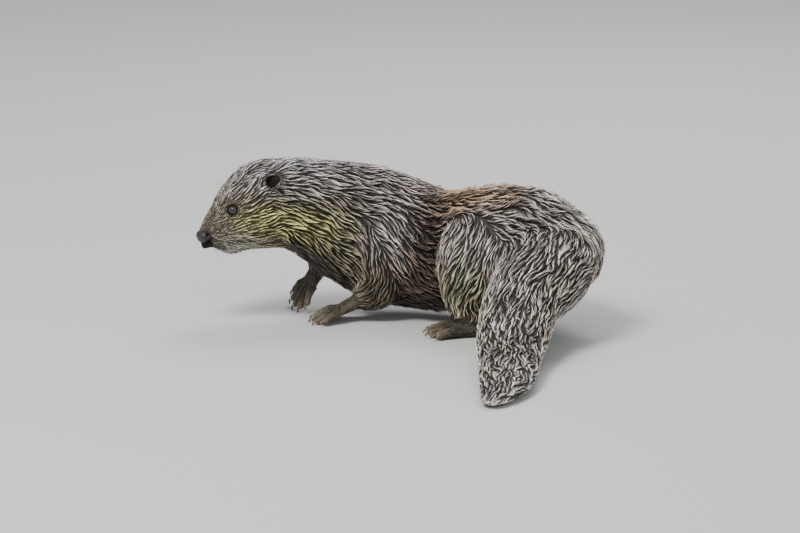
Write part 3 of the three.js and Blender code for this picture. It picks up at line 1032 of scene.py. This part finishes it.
def bare(skin):
    """True where no hair grows: soles, nose, and the opening and rims of the eyes."""
    p, n, h = skin.points, skin.normals, skin.head
    sole = (p[:, 2] < 3.5) & (n[:, 2] < -0.35) & (skin.is_part["forefoot"] + skin.is_part["hindfoot"] > 0)
    none = sole | (nose_skin(h) > 0.4) | (ear_bowl(h) > 0.5)
    none |= off_pair(p, EYE_PLACE) < settings("otter_face").eye_radius / MM + 0.95
    return none | near_toes(p, 19)


def spread(mesh, gaps, rng):
    """Random places on the mesh's faces, a few to each blade's share: corners, their weights, and loops."""
    start, total = (whole(mesh.polygons, name) for name in ("loop_start", "loop_total"))
    area = read(mesh.polygons, "area", 1).ravel() / MM**2
    corner = whole(mesh.loops, "vertex_index")
    need = 2.2 * area / (gaps[corner[start], 0] * gaps[corner[start], 1])
    face = np.repeat(np.arange(len(start)), np.floor(need + rng.uniform(0, 1, len(need))).astype(int))
    fan = 1 + np.floor(rng.uniform(0, 1, len(face)) * (total[face] - 2)).astype(int)
    loops = start[face][:, None] + np.stack([np.zeros_like(fan), fan, fan + 1], 1)
    a, b = np.sqrt(rng.uniform(0, 1, len(face))), rng.uniform(0, 1, len(face))
    weights = np.stack([1 - a, a * (1 - b), a * b], 1)
    return loops, corner[loops], weights


def scattered(places, gaps, flow, rng):
    """Which places to keep so that none lies in another's long oval along the lie of the coat."""
    tree = tree_of(places)
    taken = np.zeros(len(places), bool)
    shut = np.zeros(len(places), bool)
    gap_list = gaps.tolist()
    for i in rng.permutation(len(places)).tolist():
        if shut[i]:
            continue
        taken[i] = True
        across, ahead = gap_list[i]
        near = np.array([found[1] for found in tree.find_range(places[i], ahead)])
        arm = places[near] - places[i]
        forward = arm @ flow[i]
        aside = (arm**2).sum(1) - forward**2
        shut[near[(forward / ahead) ** 2 + aside / across**2 < 1]] = True
    return np.flatnonzero(taken)


def combed(skin, roots, lengths, flow):
    """For each root: points over the skin along the lie of the coat, and the normals there."""
    mesh = skin.object.data
    corner, starts = whole(mesh.loops, "vertex_index"), whole(mesh.polygons, "loop_start")
    tree = BVHTree.FromPolygons(skin.points.tolist(), [q.tolist() for q in np.split(corner, starts[1:])])
    face_flow = flow[corner[starts]].tolist()
    path = np.zeros((len(roots), RINGS + 1, 3))
    up = np.zeros((len(roots), RINGS + 1, 3))
    for i, root in enumerate(roots.tolist()):
        here, normal, face, _ = tree.find_nearest(root)
        way = Vector(face_flow[face])
        step = lengths[i] / RINGS
        path[i, 0] = here
        up[i, 0] = normal
        for k in range(1, RINGS + 1):
            here, normal, face, _ = tree.find_nearest(here + way * step)
            way = way * 0.4 + Vector(face_flow[face]) * 0.6
            way -= normal * way.dot(normal)
            way.normalize()
            path[i, k] = here
            up[i, k] = normal
    return path, unit(up)


def clumped(path, size, rng):
    """Each blade's leader, and the way from its point to the leader's line."""
    tips = path[:, -1]
    way = unit(path[:, -1] - path[:, -2])
    leaders = scattered(tips, size[:, 5:7], way, rng)
    tree = tree_of(tips[leaders])
    found = np.array([[hit[1] for hit in tree.find_n(tip, 6)] for tip in tips.tolist()])
    arm = tips[leaders[found]] - tips[:, None]
    forward = (arm * way[:, None]).sum(2)
    aside = arm - forward[..., None] * way[:, None]
    far = (forward * (size[:, 5] / size[:, 6])[:, None]) ** 2 + (aside**2).sum(2)
    best = far.argmin(1)
    each = np.arange(len(tips))
    return leaders[found[each, best]], aside[each, best]


# along a blade, from its root to its point
LOFT = np.array([-0.12, 0.55, 0.95, 1.05, 0.8])
GIRTH = np.array([0.8, 1.0, 0.95, 0.66])
# painted light along each blade's crest: dark wet roots with painted shade under the blades above, a painted
# highlight towards the point
CREST_PAINTED_LIGHT = np.array([0.1, 0.32, 1.1, 1.9, 2.2])  # brightness
# painted shade along each blade's two edges, beside its crest
EDGE_PAINTED_SHADE = np.array([0.06, 0.14, 0.42, 0.8])


def blades(path, up, size, tone, seat, leader, aside, rng):
    """Points, colours with painted highlights and shade, and bake places of the blades."""
    sizes = settings("otter_coat")
    length, width, _, _, height, clump, _, rough = size.T
    count = len(path)
    t = np.linspace(0, 1, RINGS + 1)

    def drawn(low, high):
        """A random number for each clump."""
        return rng.uniform(low, high, leader.max() + 1)[leader]

    off = np.clip(norm(aside) / (0.5 * clump), 0, 1.3)
    ahead = unit(np.gradient(path, axis=1))
    across = unit(np.cross(up, ahead))
    wave = sizes.wave / MM * np.minimum(1, length / 12) * (0.6 + 0.4 * rough)
    sway = wave[:, None] * np.sin(drawn(0, 6.3)[:, None] + 2 * math.pi * drawn(0.5, 1.1)[:, None] * t) * t
    sway += (drawn(-0.26, 0.26) * length * rough)[:, None] * t**2
    stand = np.maximum(drawn(-2.2, 1.2), 0) * height * rough
    tall = height * (1 - 0.45 * off**2) * rng.uniform(0.8, 1.1, count)
    rise = tall[:, None] * LOFT + stand[:, None] * t**2.5
    pull = sizes.clumping * t**1.7
    middle = path + aside[:, None] * pull[:, None] + across * sway[..., None] + up * rise[..., None]
    broad = width[:, None] * GIRTH * sizes.fullness
    crest = broad * 0.42
    points = np.zeros((count, 3 * RINGS + 1, 3))
    # each ring's edges take painted shade and its crest painted light
    shade = np.zeros(3 * RINGS + 1)
    for k in range(RINGS):
        half = across[:, k] * (broad[:, k] / 2)[:, None]
        points[:, 3 * k] = middle[:, k] - half
        points[:, 3 * k + 1] = middle[:, k] + half
        points[:, 3 * k + 2] = middle[:, k] + up[:, k] * crest[:, k, None]
        shade[3 * k : 3 * k + 3] = EDGE_PAINTED_SHADE[k], EDGE_PAINTED_SHADE[k], CREST_PAINTED_LIGHT[k]
    points[:, -1] = middle[:, -1]
    shade[-1] = CREST_PAINTED_LIGHT[-1]
    # a random brightness for each clump, darkened towards its borders as painted shade in the gaps between
    # clumps
    each = drawn(0.4, 1.7) * rng.normal(1, 0.12, count) * (1.4 - 1.3 * np.minimum(off, 1) ** 1.15)
    warmth = drawn(-0.06, 0.06)[:, None] * np.array([1.0, 0.1, -1.0])
    base = tone * (1 + warmth) * np.clip(each, 0.1, 2.2)[:, None]
    colours = base[:, None, :] * shade[:, None]
    patch = np.zeros((count, 3 * RINGS + 1, 2))
    for k in range(RINGS):
        patch[:, 3 * k : 3 * k + 3, 0] = np.array([-1, 1, 0]) * 0.0015
        patch[:, 3 * k : 3 * k + 3, 1] = (t[k] - 0.5) * 0.003
    patch[:, -1, 1] = 0.0015
    return points, colours, seat[:, None] + patch


def strand_faces(rings, ring):
    """The faces of a three-sided strand: its root's end, its sides and its point. ring: the way round it."""
    sides = list(zip(ring, ring[1:] + ring[:1]))
    faces = [ring[::-1]]
    for k in range(rings - 1):
        a, b = 3 * k, 3 * k + 3
        faces += [(a + i, a + j, b + j, b + i) for i, j in sides]
    last, tip = 3 * rings - 3, 3 * rings
    return faces + [(last + i, last + j, tip) for i, j in sides]


def joined_copies(name, points, colours, patches, faces):
    """One mesh of many small copies that share their faces' layout."""
    count, corners = points.shape[:2]
    layout = np.concatenate([np.array(f) for f in faces])
    totals = np.array([len(f) for f in faces])
    loops = (layout[None] + np.arange(count)[:, None] * corners).ravel()
    starts = np.cumsum(np.concatenate([[0], np.tile(totals, count)[:-1]]))
    mesh = bpy.data.meshes.new(name)
    mesh.vertices.add(count * corners)
    mesh.vertices.foreach_set("co", row(points).ravel())
    mesh.loops.add(len(loops))
    mesh.loops.foreach_set("vertex_index", loops.astype(np.int32))
    mesh.polygons.add(len(starts))
    mesh.polygons.foreach_set("loop_start", starts.astype(np.int32))
    mesh.update(calc_edges=True)
    mesh.polygons.foreach_set("use_smooth", np.ones(len(starts), bool))
    paint(mesh, colours.reshape(-1, 3))
    if patches is not None:
        layer = mesh.uv_layers.new(name="OFBake")
        layer.uv.foreach_set("vector", patches.reshape(-1, 2)[loops].astype(np.float32).ravel())
    o = bpy.data.objects.new(name, mesh)
    bpy.context.scene.collection.objects.link(o)
    return o


def make_coat(skin):
    """The tufts of the whole animal, as one piece for each region."""
    sizes = settings("otter_coat")
    rng = np.random.default_rng(sizes.seed)
    mesh = skin.object.data
    field = coat_sizes(skin)
    loops, corners, weights = spread(mesh, field[:, 2:4], rng)

    def at_roots(values):
        return (values[corners] * weights[..., None]).sum(1)

    turn = (skin.net.grain(rng, 14) * 0.2)[:, None]
    flow = skin.flow * np.cos(turn) + np.cross(skin.normals, skin.flow) * np.sin(turn)
    roots = at_roots(skin.points)
    size = at_roots(field)
    free = np.flatnonzero(at_roots(bare(skin).astype(float)[:, None])[:, 0] < 0.3)
    chosen = free[scattered(roots[free], size[free][:, 2:4], unit(at_roots(flow))[free], rng)]
    corners, weights = corners[chosen], weights[chosen]
    roots, size = roots[chosen], size[chosen]
    size[:, 0] *= sizes.reach * rng.uniform(0.72, 1.15, len(size))
    tone = at_roots(skin.colour)
    part = skin.part[corners[:, 0]]
    uv = read(mesh.uv_layers.active.uv, "vector", 2)
    seat = (uv[loops[chosen]] * weights[..., None]).sum(1)
    path, up = combed(skin, roots, size[:, 0], flow)
    leader, aside = clumped(path, size, rng)
    made = []
    down_tail = along(roots, curve_through(TAIL))[0]
    for name, (parts, stretch) in PIECES.items():
        mine = np.isin(part, [PARTS.index(k) for k in parts])
        if stretch:
            mine &= (down_tail >= stretch[0]) & (down_tail < stretch[1])
        chosen = [values[mine] for values in (path, up, size, tone, seat, leader, aside)]
        points, colours, patches = blades(*chosen, rng)
        points[..., 2] = np.maximum(points[..., 2], LOWEST)
        made.append(joined_copies(name, points, colours, patches, strand_faces(RINGS, (0, 2, 1))))
    return made


# ---------------------------------------------------------------- the face's small pieces
WHISKER_RINGS = 6
EYE_WHITE = np.array([0.02, 0.014, 0.012])  # in the shade of the lids
# the nose pad, in the head's frame, in mm
NOSE_CENTRE = np.array([12.8, 0, 0.2])
NOSE_HALF = np.array([11.2, 12.4, 8.0])
NOSE_BLUNT = 2.7
NOSTRIL = np.array([13.4, 11, 2.4])
NOSTRIL_SLIT = np.array([(13.6, 10.8, 2.6), (11.4, 10.8, 0.2), (8.4, 9.8, -1.8)])


def make_eye(side_name):
    """An eyeball with its pupil and iris, facing out of the head."""
    sizes = settings("otter_face")
    flip = FLIPS[side_name]
    clear_selection()
    bpy.ops.mesh.primitive_uv_sphere_add(segments=48, ring_count=32, radius=sizes.eye_radius)
    o = bpy.context.object
    o.name = o.data.name = f"eyeball_{side_name}"
    out = Vector(EYE_OUT * flip @ HEAD_AXES.T)
    shape = read(o.data.vertices, "co", 3)
    ray = unit(shape)
    cornea = 1 + 0.05 * smooth(0.72, 1.0, ray[:, 2])
    turn = np.array(out.to_track_quat("Z", "Y").to_matrix())
    placed = (shape * cornea[:, None]) @ turn.T + row(from_head(EYE_PLACE * flip))
    o.data.vertices.foreach_set("co", placed.ravel())
    o.data.update()
    facing = ray[:, 2]
    iris = np.array(sizes.iris)
    pupil = smooth(0.8, 0.84, facing)[:, None]
    white = 1 - smooth(0.45, 0.6, facing)[:, None]
    paint(o.data, iris * (1 - 0.93 * pupil) * (1 - white) + EYE_WHITE * white)
    shaded_smooth(o)
    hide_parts(f"eye_{side_name}")
    return o


def eye_material():
    """A wet dark eye."""
    nodes = Nodes("otter_eye")
    base = nodes.tone(nodes.ramp(nodes.noise(1500.0, 3.0), 0.75, 1.3))
    nodes.set(Base_Color=base, Roughness=0.06, Coat_Weight=1.0, Coat_Roughness=0.02, IOR=1.38)
    return nodes.material


def make_nose():
    """The nose pad: a blunt pad with a nostril at each side and a groove down its middle."""
    clear_selection()
    bpy.ops.mesh.primitive_ico_sphere_add(subdivisions=6, radius=1)
    o = bpy.context.object
    o.name = o.data.name = "nose_pad"
    ray = unit(read(o.data.vertices, "co", 3))
    ray = ray / (np.abs(ray) ** NOSE_BLUNT).sum(1, keepdims=True) ** (1 / NOSE_BLUNT)
    h = NOSE_CENTRE + ray * NOSE_HALF
    x, _, z = h.T.copy()
    h[:, 2] -= 0.12 * (x - 8) * smooth(-2, 6, z)
    h[:, 1] *= 1 - 0.2 * smooth(2, 9, z) - 0.22 * fade(2, 8, x) - 0.25 * fade(-7, -1, z)
    moved(o, from_head(h))
    n = read(o.data.vertices, "normal", 3) @ HEAD_AXES
    move = np.zeros_like(h)
    for flip in FLIPS.values():
        move += bulge(h, n, np.array([12.5, 10.5, 5.5]) * flip, 5.5, 1.0)
        move += bulge(h, n, np.array([7.5, 8, 3]) * flip, 6, 0.8)
        slit = along(h, curve_through(NOSTRIL_SLIT * flip))[2]
        move -= n * (1.3 * hill(slit, 0, 1.1))[:, None]
        hole = norm(h - NOSTRIL * flip)
        move -= n * (4.2 * fade(0.8, 3.4, hole))[:, None]
    move -= n * (0.9 * hill(h[:, 1], 0, 0.7) * fade(-1, 5, h[:, 2]))[:, None]
    moved(o, from_head(h + move))
    shaded_smooth(o)
    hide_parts("nose")
    return o


def nose_material():
    """Damp pebbled skin."""
    nodes = Nodes("otter_nose")
    cells = nodes.texture("ShaderNodeTexVoronoi", "Distance", 1300.0)
    share = nodes.ramp(nodes.noise(500.0), low=0.35, high=0.65)
    base = nodes.shades(settings("otter_face").nose, 0.7, 1.5, share)
    nodes.set(Base_Color=base, Roughness=0.34, Normal=nodes.bump(cells, 0.0003, 0.8))
    return nodes.material


def make_claws():
    """All claws, smoothed from their solids."""
    names = sorted(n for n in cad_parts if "claw" in n)
    o = copied(names, "claws")
    modified(o, "SUBSURF", levels=2, render_levels=2)
    shaded_smooth(o)
    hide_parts(*names)
    return o


def claw_material():
    """Horn, lighter and darker in soft patches."""
    nodes = Nodes("otter_claw")
    base = nodes.shades(settings("otter_face").claw, 0.6, 1.2, nodes.ramp(nodes.noise(420.0, 4.0)))
    nodes.set(Base_Color=base, Roughness=0.38, Normal=nodes.bump(nodes.noise(2400.0), 0.0002, 0.4))
    return nodes.material


def make_whiskers(rng):
    """Whiskers on the pads, brows and chin, each a thin tapering three-sided hair."""
    sizes = settings("otter_face")
    rows = []

    def grow(place, spans, sag):
        """A whisker from a place. spans: how far it points back, out and up, and its share of the longest."""
        back, out, up, share = (rng.uniform(*span) for span in spans)
        rows.append((place, (back, side * out, up), share, sag))

    for side in SIDES.values():
        for _ in range(22):
            x = rng.uniform(16, 32)
            pad = (x, side * (9 + 0.42 * x), rng.uniform(-11, 1))
            grow(pad, ((0.3, 0.9), (0.5, 1.0), (-0.8, 0.05), (0.5, 1.0)), -0.35)
        for _ in range(26):
            x = rng.uniform(22, 58)
            lip = (x, side * (11 + 0.38 * x), rng.uniform(-24, -15) - 0.1 * x)
            grow(lip, ((0.55, 0.95), (0.15, 0.5), (-1.0, -0.5), (0.35, 0.7)), 0.15)
        for _ in range(5):
            brow = (rng.uniform(53, 59), side * rng.uniform(22, 27), rng.uniform(31, 35))
            grow(brow, ((0.1, 0.6), (0.4, 0.8), (0.5, 1.0), (0.3, 0.5)), -0.2)
        for _ in range(8):
            chin = (rng.uniform(12, 28), side * rng.uniform(2, 10), rng.uniform(-28, -22))
            grow(chin, ((0.5, 1.0), (0.1, 0.5), (-0.9, -0.5), (0.3, 0.5)), -0.1)
    points = np.zeros((len(rows), 3 * WHISKER_RINGS + 1, 3))
    for i, (place, way, share, sag) in enumerate(rows):
        way = unit(np.array(way))
        reach = sizes.whisker_length / MM * share
        aside = unit(np.cross(way, [0.1, 0.2, 1.0]))
        for k in range(WHISKER_RINGS + 1):
            t = k / WHISKER_RINGS
            spot = np.array(place) + way * (reach * t) + np.array([0.5, 0, sag]) * (reach * t * t * 0.35)
            if k == WHISKER_RINGS:
                points[i, -1] = spot
                continue
            radius = sizes.whisker_radius / MM * (1 - 0.75 * t)
            for j in range(3):
                a = j * 2 * math.pi / 3
                edge = aside * math.cos(a) + np.cross(way, aside) * math.sin(a)
                points[i, 3 * k + j] = spot + edge * radius
    faces = strand_faces(WHISKER_RINGS, (0, 1, 2))
    tone = np.tile(np.array(sizes.whisker), (points.shape[0], points.shape[1], 1))
    tone *= rng.uniform(0.5, 1.1, (len(rows), 1, 1))
    return joined_copies("whiskers", from_head(points), tone, None, faces)


# ---------------------------------------------------------------- operators
BUILT = {}
# each light's name, place and size in metres, and power in watts
LIGHTS = (
    ("key_light", (-1.1, -1.3, 2.6), 1.1, 88),
    ("fill_light", (2.2, -1.8, 1.2), 2.0, 16),
    ("rim_light", (0.5, 1.9, 2.2), 1.3, 36),
)
LIT = Vector((0, 0, 0.08))  # where the lights point
SKY = (0.86, 0.89, 0.93, 1)
SKY_STRENGTH = 0.6


class OTTER_OT_skin(bpy.types.Operator):
    """Make the skin from the flesh solids"""

    bl_idname = "otter.skin"
    bl_label = "Skin"

    def execute(self, context):
        o = make_skin()
        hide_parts(*FLESH)
        skin = Skin(o)
        BUILT["skin"] = skin
        skin.colour = skin.tone(np.random.default_rng(settings("otter_coat").seed))
        paint(o.data, skin.under_coat())
        finished(o, skin_material())
        return {"FINISHED"}


class OTTER_OT_coat(bpy.types.Operator):
    """Make the tufts of the coat over the skin"""

    bl_idname = "otter.coat"
    bl_label = "Coat"

    def execute(self, context):
        material = coat_material("otter_wet_coat", 0.36)
        for o in make_coat(BUILT["skin"]):
            finished(o, material)
        return {"FINISHED"}


class OTTER_OT_eyes(bpy.types.Operator):
    """Make the two eyes"""

    bl_idname = "otter.eyes"
    bl_label = "Eyes"

    def execute(self, context):
        material = eye_material()
        for side in SIDES:
            finished(make_eye(side), material)
        return {"FINISHED"}


class OTTER_OT_nose(bpy.types.Operator):
    """Make the nose pad"""

    bl_idname = "otter.nose"
    bl_label = "Nose"

    def execute(self, context):
        finished(make_nose(), nose_material())
        return {"FINISHED"}


class OTTER_OT_claws(bpy.types.Operator):
    """Make the claws"""

    bl_idname = "otter.claws"
    bl_label = "Claws"

    def execute(self, context):
        finished(make_claws(), claw_material())
        return {"FINISHED"}


class OTTER_OT_whiskers(bpy.types.Operator):
    """Make the whiskers"""

    bl_idname = "otter.whiskers"
    bl_label = "Whiskers"

    def execute(self, context):
        rng = np.random.default_rng(settings("otter_coat").seed + 1)
        finished(make_whiskers(rng), coat_material("otter_whisker", 0.35))
        return {"FINISHED"}


class OTTER_OT_stage(bpy.types.Operator):
    """Make the floor, the light and the camera"""

    bl_idname = "otter.stage"
    bl_label = "Stage"

    def execute(self, context):
        sizes = settings("otter_stage")
        clear_selection()
        bpy.ops.mesh.primitive_plane_add(size=14, location=(0, 0, 0))
        floor = context.object
        floor.name = "floor"
        nodes = Nodes("studio_floor")
        nodes.set(Base_Color=with_alpha(sizes.floor), Roughness=0.9)
        floor.data.materials.append(nodes.material)
        target = Vector(row((0, 0, 0))) + Vector((0, 0, sizes.target_height))
        tilt = math.radians(sizes.elevation)
        away = Vector((0, -math.cos(tilt), math.sin(tilt)))
        bpy.ops.object.camera_add(location=target + away * sizes.distance)
        camera = context.object
        camera.name = "camera"
        camera.rotation_euler = (-away).to_track_quat("-Z", "Y").to_euler()
        camera.data.lens = sizes.lens
        camera.data.sensor_width = 36
        context.scene.camera = camera
        for name, place, size, power in LIGHTS:
            bpy.ops.object.light_add(type="AREA", location=place)
            light = context.object
            light.name = name
            light.data.energy = power
            light.data.size = size
            light.rotation_euler = (LIT - Vector(place)).to_track_quat("-Z", "Y").to_euler()
        world = bpy.data.worlds.new("studio")
        world.use_nodes = True
        sky = world.node_tree.nodes["Background"]
        sky.inputs["Color"].default_value = SKY
        sky.inputs["Strength"].default_value = SKY_STRENGTH
        context.scene.world = world
        return {"FINISHED"}


class OTTER_PT_build(bpy.types.Panel):
    """The otter's pieces"""

    bl_label = "River Otter"
    bl_space_type = "VIEW_3D"
    bl_region_type = "UI"
    bl_category = "Otter"

    def draw(self, context):
        for operator in OPERATORS:
            self.layout.operator(operator.bl_idname)
        for group, sizes in GROUPS.items():
            box = self.layout.box()
            for key in sizes.__annotations__:
                box.prop(getattr(context.scene, group), key)


OPERATORS = (
    OTTER_OT_skin,
    OTTER_OT_coat,
    OTTER_OT_eyes,
    OTTER_OT_nose,
    OTTER_OT_claws,
    OTTER_OT_whiskers,
    OTTER_OT_stage,
)
CLASSES = (*GROUPS.values(), *OPERATORS, OTTER_PT_build)


def register():
    for cls in CLASSES:
        bpy.utils.register_class(cls)
    for group, sizes in GROUPS.items():
        setattr(bpy.types.Scene, group, bpy.props.PointerProperty(type=sizes))


def unregister():
    for group in GROUPS:
        delattr(bpy.types.Scene, group)
    for cls in reversed(CLASSES):
        bpy.utils.unregister_class(cls)


def main():
    """Makes the whole otter on its stage."""
    register()
    clear_selection()
    for operator in OPERATORS:
        group, name = operator.bl_idname.split(".")
        getattr(getattr(bpy.ops, group), name)()
    clear_selection()


if __name__ == "__main__":
    main()
